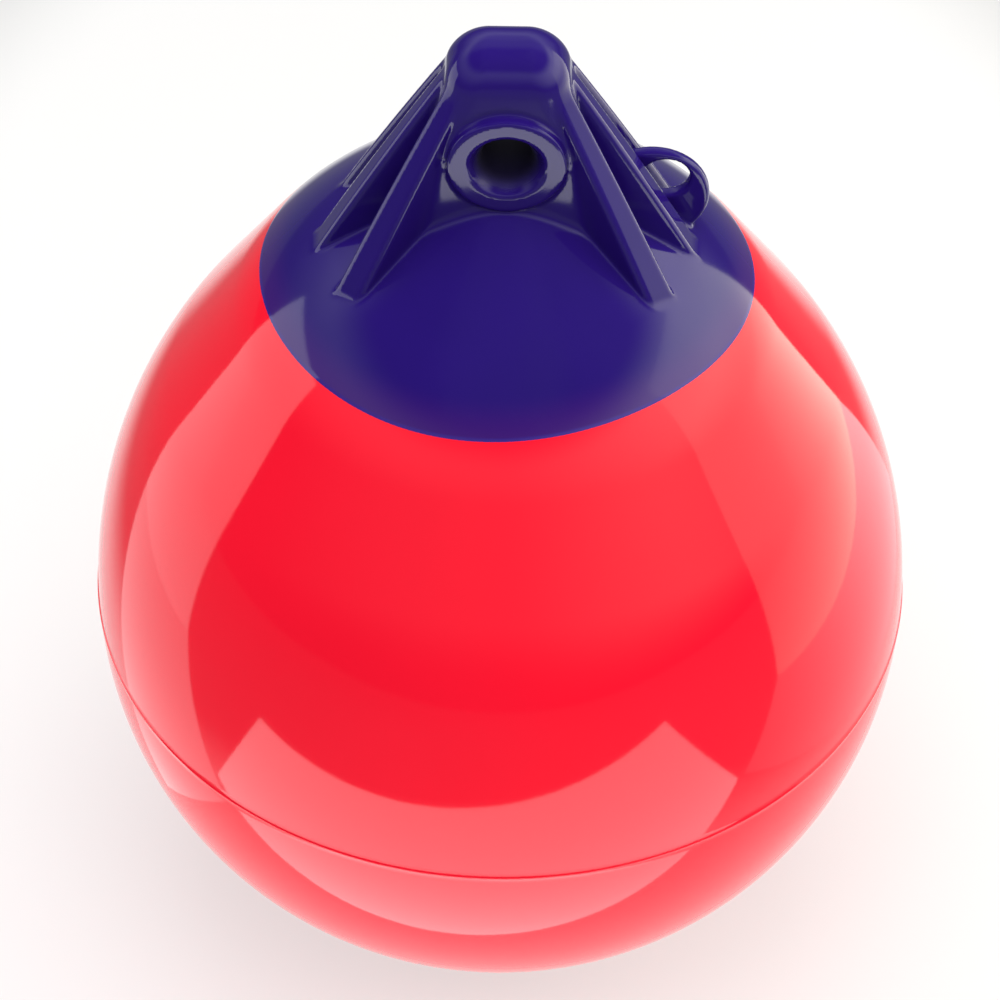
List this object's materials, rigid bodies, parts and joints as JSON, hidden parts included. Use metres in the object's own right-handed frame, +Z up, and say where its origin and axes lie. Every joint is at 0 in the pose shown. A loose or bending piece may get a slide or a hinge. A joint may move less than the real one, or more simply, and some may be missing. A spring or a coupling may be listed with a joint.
{
  "type": "inflatable mooring buoy",
  "caption": "Teardrop-shaped inflatable vinyl buoy with a ribbed rope hold on top, a through rope eye, a small lashing eye and an air valve; it marks or holds up a mooring.",
  "frame": {"origin": "on the buoy's axis, in the surface of still fresh water that the empty buoy floats in", "axes": "+Z up through the rope hold, the rope eye's axis along Y, the lashing eye on the +X side, the air valve on the +Y side"},
  "size_m": [0.2038, 0.2038, 0.282],
  "materials": {
    "red_vinyl": "gloss",
    "blue_vinyl": "gloss",
    "valve_plastic": "satin"
  },
  "bodies": {
    "root": {"float_body": "red_vinyl", "rope_hold": "blue_vinyl", "valve_seat": "valve_plastic", "valve_plug": "valve_plastic"}
  },
  "joints": []
}
